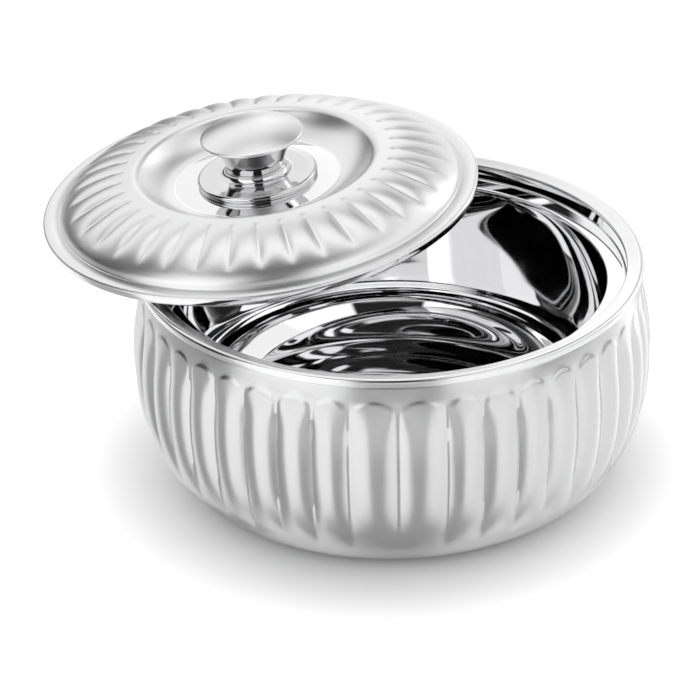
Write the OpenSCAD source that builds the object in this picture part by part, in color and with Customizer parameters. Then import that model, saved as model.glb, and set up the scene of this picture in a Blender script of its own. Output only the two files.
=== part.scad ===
// Double-walled, foam-insulated serving bowl with a fluted outer shell and a loose insulated lid.
// The lid lies ajar on the rim, pushed to the left and leaning a little that way.
// Units are millimetres, +Z is up, and the origin is the centre of the foot on the table.

/* [Bowl] */
// Radius of the belly over the tops of the flutes
body_r = 125; // [104:1:155]
// How far the belly stands out past the neck under the rim ring
belly_out = 8; // [6:0.5:12]
// Height of the widest part of the belly above the table
belly_z = 64; // [52:1:74]
// How far in from the belly the curve of the outer shell meets the table
foot_inset = 41; // [34:1:50]
// Height of the rim above the table
rim_z = 111; // [104:1:135]
// Thickness of the pressed steel sheet
sheet = 0.6; // [0.5:0.1:1]

/* [Rim and seat] */
// Width of the rim ring, from its outer edge to the polished wall inside the rim
rim_w = 8; // [7.6:0.1:10]
// Width of the seat that the lid lies on
seat_w = 9.6; // [8:0.1:12]
// Depth of the seat below the rim
seat_drop = 9.5; // [7:0.5:12]
// How much the rim ring slopes down towards the mouth
ring_fall = 1.2; // [0.6:0.1:1.6]
// Thickness of the rim ring's flat
ring_t = 1; // [0.8:0.1:1.4]

/* [Flutes of the bowl] */
// Number of narrow flutes
narrow_flutes = 42; // [30:2:48]
// Width of each of the two wide flutes at the front, in degrees
wide_flute = 10.4; // [8.5:0.1:12]
// Depth of a flute from its top to the crease beside it
flute_depth = 2.8; // [1.5:0.1:3.4]
// Distance from the rim down to the round heads of the flutes
flute_head_drop = 11; // [10:0.5:16]
// Height of a flute's round head
flute_head = 7; // [4:0.5:10]
// Height above the table at which the creases have faded out
flute_tail_z = 14; // [10:1:24]

/* [Inner bowl] */
// How far the food bowl widens past its mouth
inner_out = 6; // [4:0.5:9]
// Height of the food bowl's floor above the table
floor_z = 12; // [9:0.5:18]
// How far in from the foot the food bowl's floor starts to curve up
floor_inset = 5; // [2:0.5:12]
// Height of the rounded corner between the floor and the wall
corner_h = 33; // [24:1:40]

/* [Base] */
// Height of the base plate's recessed middle above the table
plate_z = 2.6; // [2:0.1:4]
// Width of the foot ring that touches the table
foot_w = 7; // [5:0.5:8]
// Radius of the hole in the base that the foam goes in through
fill_hole_r = 9; // [6:0.5:12]

/* [Lid] */
// Clearance between the closed lid's rolled edge and the wall inside the rim
lid_gap = 5.8; // [4:0.1:7]
// Thickness of the rolled edge
edge_t = 2.4; // [2.2:0.1:3]
// Width of the lid's flat rim, from its rolled edge to the groove round the dome
lid_rim_w = 8.2; // [7:0.1:10]
// Radius of the round crest that circles the recess
crest_r = 61; // [54:0.5:68]
// Height of the crest above the middle of the rolled edge
crest_h = 17.5; // [14:0.5:24]
// Radius of the flat mirror floor of the recess
recess_r = 41; // [36:0.5:46]
// Height of the recess floor above the middle of the rolled edge
recess_h = 8; // [5:0.5:10]
// Number of flutes on the lid
lid_flutes = 38; // [30:1:44]
// Depth of a lid flute
lid_flute_depth = 1.7; // [0.8:0.1:2]
// Clearance between the plug under the lid and the mouth that it drops into
plug_gap = 3.8; // [2.5:0.1:5]
// How far the plug reaches below the middle of the rolled edge
plug_drop = 8.8; // [7:0.1:10]
// Radius of the hole in the liner that the foam goes in through
lid_hole_r = 6; // [4:0.5:8]

/* [Knob] */
// Radius of the knob's domed cap
cap_r = 25; // [21:0.5:28]
// Rise of the cap's dome
cap_rise = 4.6; // [3:0.2:8]
// Radius of the knob's waist
waist_r = 14.1; // [10:0.1:16]
// Height of the knob body
knob_h = 15.2; // [12:0.2:22]
// Radius of the base flange under the knob
knob_base_r = 29.4; // [26:0.2:32]
// Height of the base flange with its boss
knob_base_h = 7.3; // [6:0.1:10]
// Radius of the threaded stud
stud_r = 2.5; // [2:0.5:3]

/* [How the lid lies] */
// Place of the lid's centre to the right of the bowl's axis
lid_x = -62.4; // [-70:0.2:-40]
// Place of the lid's centre behind the bowl's axis
lid_y = 41; // [20:0.5:55]
// How far the lid leans
lid_lean = 5.6; // [3:0.1:8]
// Direction in which the lid leans, as a turn from the right
lean_way = -169.4; // [-180:0.1:-150]
// Clearance between the resting lid and the rim
rest_gap = 0.3; // [0.1:0.1:0.5]

/* [Hidden] */
$fn = 128;

steel_satin = "lightgray";
steel_mirror = "silver";
foam_colour = "khaki";
plug_colour = "dimgray";

// Radii of the bowl, from the belly in
neck_r = body_r - belly_out;
foot_r = body_r - foot_inset;
ring_over = 3.6;
rim_r = neck_r + ring_over;
step_r = rim_r - rim_w;
mouth_r = step_r - seat_w;
inner_r = mouth_r + inner_out;
floor_r = foot_r - floor_inset;
// Radii of the lid, which fits the bowl's mouth and the wall inside its rim
lid_r = step_r - lid_gap;
groove_r = lid_r - lid_rim_w;
plug_r = mouth_r - plug_gap;

// Clearance between the foam and the sheet that holds it
foam_gap = 0.3;
// Columns of points across one flute, where it shows and on the plain or hidden rings
cols = 4;
back_cols = 2;
// How far a cutting cylinder runs past the face that it opens
past = 1;

// ---------- points ----------

// Points of an arc about [x, y] from angle a to angle b
function arc(x, y, r, a, b, n = 6) =
    [for (i = [0:n]) [x + r * cos(a + (b - a) * i / n), y + r * sin(a + (b - a) * i / n)]];

// Points of a curve that leaves p towards q and arrives at s from q
function bend(p, q, s, n = 8) =
    [for (i = [0:n]) let (t = i / n) (1 - t) * (1 - t) * p + 2 * t * (1 - t) * q + t * t * s];

function flipped(list) = [for (i = [len(list) - 1:-1:0]) list[i]];

// Direction square to a line of points at point i, to the left of its run
function square_to(p, i) =
    let (a = p[max(i - 1, 0)], b = p[min(i + 1, len(p) - 1)], d = [b[0] - a[0], b[1] - a[1]])
    [-d[1], d[0]] / norm(d);

// The same line moved sideways by t, to the left of its run
function beside(p, t) = [for (i = [0:len(p) - 1]) [p[i][0], p[i][1]] + t * square_to(p, i)];

// A closed outline of a sheet of thickness t along a line of points
function sheet_outline(p, t) = concat(p, flipped(beside(p, t)));

module turned(outline) {
    rotate_extrude() polygon(outline);
}

// ---------- fluted sheets ----------

// Where each ring of points begins in the list of all points
function ring_starts(counts) =
    [for (i = 0, at = 0; i < len(counts); at = at + counts[i], i = i + 1) at];

// Faces between two rings with as many points each, which begin at a and d
function even_band(a, d, n) =
    [for (i = [0:n - 1]) let (k = (i + 1) % n)
        each [[a + i, a + k, d + k], [a + i, d + k, d + i]]];

// Faces between a ring of 2n points that begins at a and one of n points that begins at d
function halving_band(a, d, n) =
    [for (i = [0:n - 1]) let (k = (i + 1) % n, f = 2 * i)
        each [
            [a + f, a + f + 1, d + i], [a + f + 1, a + 2 * k, d + k], [a + f + 1, d + k, d + i]
        ]];

function mirrored(faces) = [for (f = faces) [f[2], f[1], f[0]]];

// Closed skin that joins each ring to the next, and the last to the first
function skin_faces(counts) =
    let (starts = ring_starts(counts))
    [for (j = [0:len(counts) - 1])
        let (k = (j + 1) % len(counts), n = counts[j], m = counts[k])
        each n == m ? even_band(starts[j], starts[k], n)
            : n > m ? halving_band(starts[j], starts[k], m)
            : mirrored(halving_band(starts[k], starts[j], n))];

// One ring of the bowl: row is [radius, height, depth of the crease, half width of the
// flute's head], and columns are [angle, place across the flute from -1 to 1].
function bowl_ring(row, columns) =
    [for (c = columns)
        let (r = row[0] - row[2] * min(1, pow(c[1] / row[3], 2)))
        [r * cos(c[0]), r * sin(c[0]), row[1]]];

// One ring of the lid, whose creases go down and not in
function lid_ring(row, columns) =
    [for (c = columns) [row[0] * cos(c[0]), row[0] * sin(c[0]), row[1] - row[2] * pow(c[1], 2)]];

// A closed pressed sheet from the rings of its face and the rings of its back
module pressed(face, back) {
    rings = concat(face, back);
    polyhedron([for (r = rings) each r], skin_faces([for (r = rings) len(r)]), convexity = 10);
}

// Columns across flutes of one width, side by side from the angle start
function flute_columns(start, width, count, n) =
    [for (i = [0:count - 1]) for (k = [0:n - 1])
        [start + width * (i + k / n), -1 + 2 * k / n]];

// Rows of the back of a sheet: the front's rows moved in by t, in the other order
function back_rows(rows, t) =
    let (moved = beside(rows, t))
    [for (i = [len(rows) - 1:-1:0]) [moved[i][0], moved[i][1], rows[i][2], rows[i][3]]];

// ---------- outer shell of the bowl ----------

// Height of the shell's top flange, which lies under the rim ring
neck_z = rim_z - ring_fall - ring_t - sheet;
// Inner radius of that flange
neck_in = step_r + 2.4;
// Radius of the round between the wall and the flange, and the wall's height below it
neck_round = 1;
neck_straight = 2;
// A flute's head starts at flute_top_z, is a half round down to head_z, and the crease
// beside it has its full depth from flute_full_z down.
flute_top_z = rim_z - flute_head_drop;
head_z = flute_top_z - flute_head;
flute_full_z = flute_top_z - 3 * flute_head;
// Height over which the creases grow from the foot up to their full depth
tail_run = 32;
tail_full_z = flute_tail_z + tail_run;
// How gently a crease starts at its head and at its tail
head_power = 1.2;
tail_power = 1.5;
// Exponent of the superellipse from the foot to the belly, where 2 is a plain ellipse
foot_exponent = 2.18;
// The lip that turns in under the foot and lies on the base plate's flange
base_lip_z = 1;
base_lip_in = foot_r + 3;
base_lip_out = foot_r + 7;

// Radius over the tops of the flutes above the belly
function shoulder_r(z) =
    body_r - (body_r - neck_r) * pow((z - belly_z) / (neck_z - belly_z), 2);

// Point of a superellipse from [r_in, low] at t = 0 to [r_out, high] at t = 90
function superellipse(t, r_in, r_out, low, high, exponent) = [
    r_in + (r_out - r_in) * pow(sin(t), 2 / exponent),
    high - (high - low) * pow(cos(t), 2 / exponent)
];

// Depth of the creases at height z
function crease(z) =
    z >= flute_top_z || z <= flute_tail_z ? 0
    : z > flute_full_z
        ? flute_depth * pow(sin(90 * (flute_top_z - z) / (flute_top_z - flute_full_z)), head_power)
    : z >= tail_full_z ? flute_depth
    : flute_depth * pow(sin(90 * (z - flute_tail_z) / tail_run), tail_power);

// Half width of a flute at height z: whole below its head, a half round in the head, and
// never quite nothing, because the ring divides by it
least_width = 0.05;
function head_width(z) =
    let (up = (z - head_z) / flute_head)
    up <= 0 ? 1 : max(least_width, sqrt(max(0, 1 - up * up)));

function shell_row(p) = [p[0], p[1], crease(p[1]), head_width(p[1])];

// A row with no flute on it
function plain_row(r, z) = [r, z, 0, 1];

// The wall through the given turns of the foot's curve and the given heights above the belly
function wall(turns, heights) = concat(
    [for (t = turns) shell_row(superellipse(t, foot_r, body_r, 0, belly_z, foot_exponent))],
    [for (z = heights) shell_row([shoulder_r(z), z])]
);

foot_turns = [16, 28, 42, 60, 90];
shoulder_z = (belly_z + head_z) / 2;
neck_low_z = neck_z - neck_straight;
front_wall = wall(foot_turns, [shoulder_z, head_z, head_z + 0.5 * flute_head,
    head_z + 0.85 * flute_head, flute_top_z, neck_low_z]);
back_wall = wall(foot_turns, [shoulder_z, head_z, flute_top_z, neck_low_z]);

shell_front = concat(
    [plain_row(base_lip_in, base_lip_z), plain_row(base_lip_out, base_lip_z)],
    front_wall,
    [plain_row(neck_r - neck_round, neck_z), plain_row(neck_in, neck_z)]
);
shell_back = concat(
    [plain_row(neck_in, neck_z - sheet)],
    back_rows(back_wall, sheet),
    [plain_row(base_lip_out, base_lip_z + sheet), plain_row(base_lip_in, base_lip_z + sheet)]
);

// Columns of the flutes: two wide ones meet at the front, and the narrow ones share the rest
front_way = -90;
narrow_flute = (360 - 2 * wide_flute) / narrow_flutes;
function shell_columns(n) = concat(
    flute_columns(front_way - wide_flute, wide_flute, 2, n),
    flute_columns(front_way + wide_flute, narrow_flute, narrow_flutes, n)
);

module outer_shell() {
    color(steel_satin)
        pressed(
            [for (row = shell_front) bowl_ring(row, shell_columns(cols))],
            [for (row = shell_back) bowl_ring(row, shell_columns(back_cols))]
        );
}

// ---------- inner bowl ----------

seat_z = rim_z - seat_drop;
inner_top_z = rim_z - ring_fall - ring_t;
// Outer radius of the flange that lies under the rim ring
inner_flange_r = step_r + 4.4;
// The corner is an ellipse, and the wall above it is plain
corner_exponent = 2;
corner_top_z = floor_z + corner_h;
// Round of the mouth's lip, and of both ends of the wall inside the rim
lip_r = 1.2;
step_round = 1;
// Where the wall starts to draw in above the corner, how far under the seat it is steepest,
// and where it reaches the lip
draw_rise = 4;
draw_drop = 16;
draw_in = 0.6;
throat_drop = 3.2;
throat_out = 0.9;

// The food side, from the middle of the floor up to the flange under the rim ring
inner_line = concat(
    [[0, floor_z], [floor_r, floor_z]],
    [for (t = [10:8:90])
        superellipse(t, floor_r, inner_r, floor_z, corner_top_z, corner_exponent)],
    bend([inner_r, corner_top_z + draw_rise], [inner_r - draw_in, seat_z - draw_drop],
        [mouth_r + throat_out, seat_z - throat_drop]),
    arc(mouth_r + lip_r, seat_z - lip_r, lip_r, 180, 90, 4),
    [[step_r - 1.4 * step_round, seat_z]],
    arc(step_r - step_round, seat_z + step_round, step_round, -60, 0, 3),
    arc(step_r + step_round, inner_top_z - step_round, step_round, 180, 90, 3),
    [[inner_flange_r, inner_top_z]]
);

module inner_bowl() {
    color(steel_mirror) turned(sheet_outline(inner_line, -sheet));
}

// ---------- rim ring ----------

// Height of the ring's inner edge, and the round of its outer edge
ring_z = rim_z - ring_fall;
ring_roll = 1.3;
// The skirt that turns down over both shells: its wall, its depth and its bevel
skirt_t = ring_t + 0.2;
skirt_h = 1.6;
skirt_bevel = 0.4;
// Small bevels of the ring's edge over the mouth
ring_bevel = 0.4;

ring_under_z = ring_z - ring_t;
module rim_ring() {
    color(steel_satin)
        turned(concat(
            [[step_r + ring_bevel, ring_under_z], [rim_r - skirt_t, ring_under_z]],
            [[rim_r - skirt_t, ring_under_z - skirt_h]],
            [[rim_r - skirt_bevel, ring_under_z - skirt_h]],
            [[rim_r, ring_under_z - skirt_h + skirt_bevel]],
            arc(rim_r - ring_roll, rim_z - ring_roll, ring_roll, 0, 90, 5),
            [[step_r + 1.5 * ring_bevel, ring_z + ring_bevel / 2]],
            [[step_r, ring_z - ring_bevel], [step_r, ring_under_z + ring_bevel]]
        ));
}

// ---------- foam between the shells ----------

// How far the foam stops below the shell's flange, and behind the deepest crease
foam_short = 0.8;
crease_clear = 0.3;
foam_top_z = neck_z - sheet - foam_gap - foam_short;
plate_top_z = plate_z + sheet;
foam_floor_z = plate_top_z + foam_gap;
foam_step_r = step_r + sheet + foam_gap;
foam_seat_z = seat_z - sheet - foam_gap;
// Pocket in the foam above the fill plug, with room round the plug's shank
fill_pocket_r = fill_hole_r + 1;
fill_pocket_h = 5;

foam_wall = wall(foot_turns, [shoulder_z, head_z, flute_top_z]);
foam_line = beside(foam_wall, sheet + foam_gap);
// The foam's outer face, just behind the bottom of the creases
foam_outside =
    [for (i = [0:len(foam_wall) - 1]) foam_line[i] - [foam_wall[i][2] + crease_clear, 0]];
// The foam's inner face, up to where the wall reaches the lip of the mouth
foam_inside =
    [for (p = beside(inner_line, -sheet - foam_gap)) if (p[1] < seat_z - throat_drop - 0.4) p];

module bowl_insulation() {
    color(foam_colour)
        difference() {
            turned(concat(
                [[0, foam_floor_z], [base_lip_out, foam_floor_z]],
                [for (p = foam_outside) if (p[1] > foam_floor_z + 0.2) p],
                [[neck_r - 2 * neck_round - sheet, foam_top_z], [foam_step_r, foam_top_z]],
                [[foam_step_r, foam_seat_z], [mouth_r + lip_r + neck_round, foam_seat_z]],
                flipped(foam_inside)
            ));
            cylinder(h = plate_top_z + fill_pocket_h, r = fill_pocket_r);
        }
}

// ---------- base ----------

// The foot ring, the slope inside it and the flange outside it
foot_out = foot_r - 2;
foot_in = foot_out - foot_w;
foot_slope = 3.4;
flange_slope = 2.6;
flange_z = base_lip_z + sheet;
flange_r = base_lip_out - 1;
// How far the corners of the pressed foot shift between the two faces of its sheet
corner_shift = 0.4;

plate_line = [
    [fill_hole_r, plate_z], [foot_in - foot_slope, plate_z], [foot_in, 0], [foot_out, 0],
    [foot_out + flange_slope, flange_z], [flange_r, flange_z]
];
plate_back = [
    [flange_r, flange_z + sheet], [foot_out + flange_slope - corner_shift, flange_z + sheet],
    [foot_out - corner_shift, sheet], [foot_in + corner_shift, sheet],
    [foot_in - foot_slope + corner_shift, plate_top_z], [fill_hole_r, plate_top_z]
];
module base_plate() {
    color(steel_satin) turned(concat(plate_line, plate_back));
}

// Push-in plug for a fill hole of radius r, with its head below z = 0. The head laps the
// sheet round the hole, and the shank has room in the hole and a bevel at its end.
plug_lap = 2.6;
plug_bevel = 0.8;
plug_clear = 0.1;
module fill_plug(r, head_t, shank_h) {
    turned([
        [0, -head_t], [r + plug_lap - plug_bevel, -head_t], [r + plug_lap, -head_t / 2],
        [r + plug_lap, 0], [r - plug_clear, 0], [r - plug_clear, shank_h - plug_bevel],
        [r - plug_clear - plug_bevel, shank_h], [0, shank_h]
    ]);
}

base_plug_head = 1.4;
base_plug_shank = 4;
module base_fill_plug() {
    color(plug_colour)
        translate([0, 0, plate_z]) fill_plug(fill_hole_r, base_plug_head, base_plug_shank);
}

// ---------- how the lid lies ----------

lean = [sin(lid_lean) * cos(lean_way), sin(lid_lean) * sin(lean_way), cos(lid_lean)];
touch = [rim_r * cos(lean_way), rim_r * sin(lean_way)];
// Height at which the flat under the plug just clears the rim on the side that the lid leans to
lid_z = rim_z + (lean[0] * (touch[0] - lid_x) + lean[1] * (touch[1] - lid_y) + plug_drop + rest_gap)
    / lean[2];

module on_lid() {
    translate([lid_x, lid_y, lid_z])
        rotate(a = lid_lean, v = [-sin(lean_way), cos(lean_way), 0])
            children();
}

// ---------- lid ----------

edge_r = edge_t / 2;
// Clearance of the stud in the cover, and how far the hem turns in under the edge
stud_hole_r = stud_r + 0.6;
hem_w = 3.6;
// The flutes run from just outside the crest to just inside the groove
lid_flute_in = crest_r + 4;
lid_flute_out = groove_r - 4.2;
lid_flute_phase = -88.3;
// Shape of the dome from the crest to the groove: how late and how roundly it falls
dome_late = 2.1;
dome_round = 0.72;
// Foot of the dome, just inside the groove
dome_foot_r = groove_r - 1.4;

// Height of the lid's dome over the flutes, from the crest out to the groove
function dome_h(r) =
    let (t = (r - crest_r) / (groove_r - crest_r))
    edge_r + (crest_h - edge_r) * pow(1 - pow(t, dome_late), dome_round);

// Depth of the lid's creases at radius r: they deepen over most of their length and end fast
function lid_crease(r) =
    r <= lid_flute_in || r >= lid_flute_out ? 0
    : let (t = (r - lid_flute_in) / (lid_flute_out - lid_flute_in))
        lid_flute_depth * pow(sin(90 * min(1, t * 1.6)), 1.4) * pow(sin(90 * min(1, (1 - t) * 5)), 0.8);

// A row of the lid is [radius, height, drop of the crease]
function plain_rows(points) = [for (p = points) [p[0], p[1], 0]];
function dome_rows(radii) = [for (r = radii) [r, dome_h(r), lid_crease(r)]];

// The side of the recess, from its floor up to just inside the crest
recess_steps = 3;
recess_curve = bend([recess_r, recess_h], [recess_r + 8.5, recess_h + 0.3],
    [crest_r - 4.5, crest_h - 1.6], recess_steps);
dome_steps = 5;
dome_radii =
    [for (i = [0:dome_steps]) lid_flute_in + i * (lid_flute_out - lid_flute_in) / dome_steps];

cover_recess = plain_rows(concat([[stud_hole_r, recess_h]], recess_curve));
cover_dome = concat(
    plain_rows([[crest_r, crest_h]]),
    dome_rows(concat(dome_radii, [dome_foot_r])),
    plain_rows([[groove_r, edge_r], [lid_r - edge_r, edge_r]])
);
cover_edge = plain_rows([
    [lid_r, 0.35 * edge_r], [lid_r, -0.35 * edge_r], [lid_r - edge_r, -edge_r],
    [lid_r - hem_w, -edge_r], [lid_r - hem_w, -sheet], [lid_r - edge_r, -sheet],
    [lid_r - edge_r, edge_r - sheet]
]);
// The back follows the face, less the sheet, with the flutes pressed through
back_in = 0.3;
cover_back = concat(
    plain_rows([
        [groove_r - 2 * back_in, edge_r - sheet], [dome_foot_r - back_in, dome_h(dome_foot_r) - sheet]
    ]),
    [for (r = flipped(dome_radii)) [r - back_in, dome_h(r) - sheet, lid_crease(r)]],
    plain_rows([[crest_r, crest_h - sheet]]),
    plain_rows([for (p = flipped(recess_curve)) p + [back_in, -sheet]]),
    plain_rows([[stud_hole_r, recess_h - sheet]])
);

function lid_columns(n) = flute_columns(lid_flute_phase, 360 / lid_flutes, lid_flutes, n);

module lid_cover() {
    color(steel_satin)
        on_lid() pressed(
            concat(
                [for (row = cover_recess) lid_ring(row, lid_columns(back_cols))],
                [for (row = cover_dome) lid_ring(row, lid_columns(cols))]
            ),
            [for (row = concat(cover_edge, cover_back)) lid_ring(row, lid_columns(back_cols))]
        );
}

// The liner's flange ends just inside the edge that wraps it
liner_edge_r = lid_r - edge_r - 0.4;
// Rounds of the plug's lower corner and of the corner under the flange
liner_corner = 3.5;
liner_neck = 1.2;
// The food side of the lid, from the fill hole out to the flange that the cover's edge wraps
liner_line = concat(
    [[lid_hole_r, -plug_drop]],
    arc(plug_r - liner_corner, liner_corner - plug_drop, liner_corner, -90, -4, 6),
    arc(plug_r + liner_neck, -sheet / 2 - liner_neck, liner_neck, 176, 90, 3),
    [[liner_edge_r, -sheet / 2]]
);
module lid_liner() {
    color(steel_mirror) on_lid() turned(sheet_outline(liner_line, sheet));
}

// Washer and nut that hold the knob down from inside the lid, and the stud's end below them
washer_t = 1;
washer_r = 3 * stud_r;
washer_z = recess_h - sheet - washer_t;
nut_t = 4;
nut_flats = 3.2 * stud_r;
nut_z = washer_z - nut_t;
stud_over = 1.5;
// Pocket in the foam for the nut under the cover, and the one over the fill plug
pocket_r = washer_r + 2;
pocket_floor = nut_z - stud_over - 4;
lid_pocket_r = lid_hole_r + 0.6;
lid_pocket_h = 3;
// The foam lies this far under the dome, behind the creases, and this far under the recess
lid_foam_drop = sheet + foam_gap + lid_flute_depth + 0.6;
recess_foam_drop = sheet + foam_gap + 0.7;
plug_foam_r = plug_r - sheet - 2 * foam_gap;
plug_foam_z = sheet + foam_gap - plug_drop;

module lid_insulation() {
    color(foam_colour)
        on_lid()
            difference() {
                turned(concat(
                    [[0, plug_foam_z], [plug_r - liner_corner, plug_foam_z]],
                    [[plug_foam_r, liner_corner - plug_drop + foam_gap]],
                    [[plug_foam_r, -sheet / 2 - liner_neck - foam_gap]],
                    [[groove_r - 4, -0.4]],
                    [for (r = flipped(dome_radii)) [r - 1.6, dome_h(r) - lid_foam_drop]],
                    [[crest_r - 1, crest_h - lid_foam_drop]],
                    [for (i = [recess_steps - 1:-1:0]) recess_curve[i] + [1.5, -recess_foam_drop]],
                    [[0, recess_h - recess_foam_drop]]
                ));
                translate([0, 0, pocket_floor]) cylinder(h = recess_h - pocket_floor, r = pocket_r);
                translate([0, 0, -plug_drop])
                    cylinder(h = lid_plug_shank + foam_gap + 0.9, r = lid_pocket_r);
            }
}

lid_plug_head = 1;
lid_plug_shank = 3;
module lid_fill_plug() {
    color(plug_colour)
        on_lid() translate([0, 0, -plug_drop]) fill_plug(lid_hole_r, lid_plug_head, lid_plug_shank);
}

// ---------- knob ----------

// Heights above the middle of the lid's edge at which the knob's pieces begin
body_z = recess_h + knob_base_h;
cap_z = body_z + knob_h;
// Base flange: its thickness, the round of its edge and the boss that carries the body
base_flange_t = 3.6;
flange_round = 1.8;
boss_r = waist_r + 0.3;
boss_bevel = 0.4;
// Top of the body, where it flares out under the cap
flare_r = cap_r - 5.6;
waist_bevel = 0.5;
// Top of the stud, and the clearances round it
stud_top = cap_z - 4;
base_bore_r = stud_r + 0.4;
washer_bore_r = stud_r + 0.3;
body_bore_r = stud_r + 0.1;
nut_bore_r = stud_r + 0.05;
body_bore_over = 0.4;

module knob_base() {
    color(steel_mirror)
        on_lid() difference() {
            translate([0, 0, recess_h]) turned(concat(
                [[0, 0], [knob_base_r - 1, 0]],
                arc(knob_base_r - flange_round, flange_round, flange_round, -60, 90, 6),
                [[knob_base_r - 3.4, base_flange_t - 0.5], [knob_base_r - 6, base_flange_t + 0.2]],
                bend([boss_r + 3.6, base_flange_t], [boss_r + boss_bevel, base_flange_t + boss_bevel],
                    [boss_r, knob_base_h - boss_bevel], 5),
                [[boss_r - boss_bevel, knob_base_h], [0, knob_base_h]]
            ));
            translate([0, 0, recess_h - past]) cylinder(h = knob_base_h + 2 * past, r = base_bore_r);
        }
}

module knob_body() {
    color(steel_mirror)
        on_lid() difference() {
            translate([0, 0, body_z]) turned(concat(
                [[0, 0], [waist_r - waist_bevel, 0], [waist_r, waist_bevel]],
                bend([waist_r, 3.2 * waist_bevel], [waist_r + 0.6, 0.55 * knob_h],
                    [flare_r, knob_h - waist_bevel], 8),
                [[flare_r - 0.3, knob_h], [0, knob_h]]
            ));
            translate([0, 0, body_z - past])
                cylinder(h = stud_top - body_z + past + body_bore_over, r = body_bore_r);
        }
}

// The cap's rounded edge, and the sphere that its dome is part of
cap_edge = 0.8;
dome_r = (pow(cap_r - cap_edge, 2) + pow(cap_rise, 2)) / (2 * cap_rise);
dome_half = asin((cap_r - cap_edge) / dome_r);
module knob_cap() {
    color(steel_satin)
        on_lid() translate([0, 0, cap_z]) turned(concat(
            [[0, 0]],
            arc(cap_r - cap_edge, cap_edge, cap_edge, -90, 60, 6),
            arc(0, 2 * cap_edge + cap_rise - dome_r, dome_r, 90 - dome_half + 1, 90, 10)
        ));
}

module knob_stud() {
    low = nut_z - stud_over;
    color(steel_satin) on_lid() translate([0, 0, low]) cylinder(h = stud_top - low, r = stud_r);
}

// A plate or nut of thickness t with a bore right through it
module bored(t, bore_r) {
    difference() {
        children();
        translate([0, 0, -past]) cylinder(h = t + 2 * past, r = bore_r);
    }
}

module knob_washer() {
    color(steel_satin)
        on_lid() translate([0, 0, washer_z])
            bored(washer_t, washer_bore_r) cylinder(h = washer_t, r = washer_r);
}

module knob_nut() {
    color(steel_satin)
        on_lid() translate([0, 0, nut_z])
            bored(nut_t, nut_bore_r) cylinder(h = nut_t, r = nut_flats / 2 / cos(30), $fn = 6);
}

outer_shell();
inner_bowl();
rim_ring();
bowl_insulation();
base_plate();
base_fill_plug();
lid_cover();
lid_liner();
lid_insulation();
lid_fill_plug();
knob_base();
knob_body();
knob_cap();
knob_stud();
knob_washer();
knob_nut();
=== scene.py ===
# %% [markdown]
# # An insulated serving bowl in stainless steel
#
# The bowl has a fluted outer shell with a satin finish, a mirror-polished food bowl inside it, and a loose
# lid with flutes, a recess and a knob. The frame holds every part at its real size. This lesson gives each
# visible part a finer skin in the same place, two steel finishes, and a studio whose white panels and dark
# gaps are what polished steel shows.

# %% Load the frame
import math

import bmesh
import bpy
from mathutils import Matrix, Vector


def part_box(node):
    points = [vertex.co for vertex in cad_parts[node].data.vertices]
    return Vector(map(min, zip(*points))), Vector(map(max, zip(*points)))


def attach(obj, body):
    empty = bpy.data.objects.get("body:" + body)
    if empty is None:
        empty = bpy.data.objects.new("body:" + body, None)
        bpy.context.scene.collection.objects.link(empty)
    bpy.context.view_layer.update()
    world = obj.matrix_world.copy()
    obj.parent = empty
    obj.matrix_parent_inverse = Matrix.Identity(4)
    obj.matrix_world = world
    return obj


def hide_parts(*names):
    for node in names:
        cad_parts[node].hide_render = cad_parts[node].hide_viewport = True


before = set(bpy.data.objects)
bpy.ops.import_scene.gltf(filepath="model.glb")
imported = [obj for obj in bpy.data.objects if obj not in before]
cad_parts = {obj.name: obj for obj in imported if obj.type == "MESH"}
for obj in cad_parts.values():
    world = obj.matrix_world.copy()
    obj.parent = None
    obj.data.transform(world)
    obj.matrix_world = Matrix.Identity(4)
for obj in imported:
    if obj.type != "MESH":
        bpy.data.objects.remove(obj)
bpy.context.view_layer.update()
print("CAD nodes:", sorted(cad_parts))

# %% [markdown]
# ## Sizes
#
# Steel pressings are drawn in millimetres, and Blender works in metres, so every size below is written in
# millimetres times MM. The rim is measured on the frame. From there each radius is a step in or out from the
# one before it, the way the parts nest: rim, step, seat and mouth inside, neck, belly and foot outside.

# %% Sizes of the bowl
MM = 0.001

rim_low, rim_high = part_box("rim_ring")
RIM_R, RIM_Z = rim_high.x, rim_high.z
SHEET = 0.6 * MM

RIM_W, SEAT_W, INNER_OUT = 8 * MM, 9.6 * MM, 6 * MM
STEP_R = RIM_R - RIM_W
MOUTH_R = STEP_R - SEAT_W
INNER_R = MOUTH_R + INNER_OUT

RING_OVER, BELLY_OUT = 3.6 * MM, 8 * MM
FOOT_INSET, FLOOR_INSET = 41 * MM, 5 * MM
NECK_R = RIM_R - RING_OVER
BODY_R = NECK_R + BELLY_OUT
FOOT_R = BODY_R - FOOT_INSET
FLOOR_R = FOOT_R - FLOOR_INSET

SEAT_DROP = 9.5 * MM
SEAT_Z = RIM_Z - SEAT_DROP
BELLY_Z, FLOOR_Z = 64 * MM, 12 * MM
print(f"rim {2 * RIM_R / MM:.1f} mm across, from {rim_low.z / MM:.1f} to {RIM_Z / MM:.1f} mm high")
print(f"mouth {2 * MOUTH_R / MM:.1f} mm across, belly {2 * BODY_R / MM:.1f} mm")

# %% [markdown]
# ## Lines that turn into parts
#
# Almost every part here is turned round an axis, so each one starts as an outline of [radius, height]
# points. An arc rounds a corner, a bend draws a soft curve from one direction into another, and a
# superellipse gives the full-bellied curve of a pressed bowl. Keeping these as small functions means that
# an outline lists only the points that its shape needs.

# %% Arcs, bends and superellipses


def arc(x, y, r, start, end, n=6):
    turns = [math.radians(start + (end - start) * i / n) for i in range(n + 1)]
    return [(x + r * math.cos(t), y + r * math.sin(t)) for t in turns]


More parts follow.
